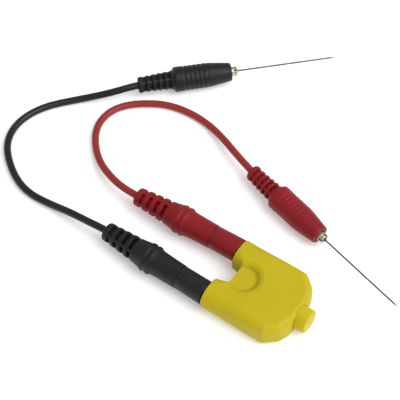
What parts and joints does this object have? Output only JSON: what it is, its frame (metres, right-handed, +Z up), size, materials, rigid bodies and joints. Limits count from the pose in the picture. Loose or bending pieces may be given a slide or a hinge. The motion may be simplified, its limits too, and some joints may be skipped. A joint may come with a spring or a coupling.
{
  "type": "back-probe test lead pair",
  "caption": "Flexible red and black test leads with slim needle probes, plugged side by side onto a small hand-held adapter that has a round push button.",
  "frame": {"origin": "centre of the adapter's underside, on the surface the whole set lies on", "axes": "+X from the plug legs to the push button, +Y towards the red lead, +Z up"},
  "size_m": [0.2066, 0.158, 0.0139],
  "materials": {
    "yellow_housing": "satin moulded, fine grain",
    "yellow_button": "satin moulded",
    "zinc_screw": "zinc plated",
    "spring_steel": "drawn wire",
    "brass_contact": "bright",
    "ivory_switch": "moulded",
    "plated_pin": "nickel plated",
    "plated_collet": "nickel plated, worn satin",
    "copper_core": "bare strands",
    "needle_steel": "stainless, fine drawn",
    "black_soft": "satin soft moulding",
    "black_sleeve": "satin",
    "black_cord": "satin flexible jacket",
    "red_soft": "satin soft moulding",
    "red_sleeve": "satin",
    "red_cord": "satin flexible jacket"
  },
  "bodies": {
    "adapter": {"housing_shell": "yellow_housing", "base_cover": "yellow_housing", "cover_screws": "zinc_screw", "switch_body": "ivory_switch", "return_spring": "spring_steel", "black_contact_strip": "brass_contact", "red_contact_strip": "brass_contact", "black_pin": "plated_pin", "red_pin": "plated_pin", "black_pin_cage": "plated_pin", "red_pin_cage": "plated_pin"},
    "button": {"push_button": "yellow_button", "bridge_contact": "brass_contact"},
    "black_lead": {"black_socket_grip": "black_soft", "black_socket_sleeve": "black_sleeve", "black_socket_tube": "brass_contact", "black_cord": "black_cord", "black_core_ends": "copper_core", "black_probe_grip": "black_soft", "black_needle_holder": "brass_contact", "black_needle_collet": "plated_collet", "black_needle": "needle_steel"},
    "red_lead": {"red_socket_grip": "red_soft", "red_socket_sleeve": "red_sleeve", "red_socket_tube": "brass_contact", "red_cord": "red_cord", "red_core_ends": "copper_core", "red_probe_grip": "red_soft", "red_needle_holder": "brass_contact", "red_needle_collet": "plated_collet", "red_needle": "needle_steel"}
  },
  "joints": [
    {"name": "button_press", "type": "slide", "parent": "adapter", "child": "button", "axis": [-1, 0, 0], "range_m": [0, 0.002], "stiffness_N_per_m": 600, "springref_m": -0.0005, "deforming": ["return_spring"]},
    {"name": "black_lead_pull", "type": "slide", "parent": "adapter", "child": "black_lead", "axis": [-0.9997, 0.0262, 0], "range_m": [0, 0.015]},
    {"name": "red_lead_pull", "type": "slide", "parent": "adapter", "child": "red_lead", "axis": [-0.9997, -0.0262, 0], "range_m": [0, 0.015]}
  ],
  "couplings": [
    {"joint": "red_lead_pull", "follows": "black_lead_pull", "ratio": 1}
  ]
}
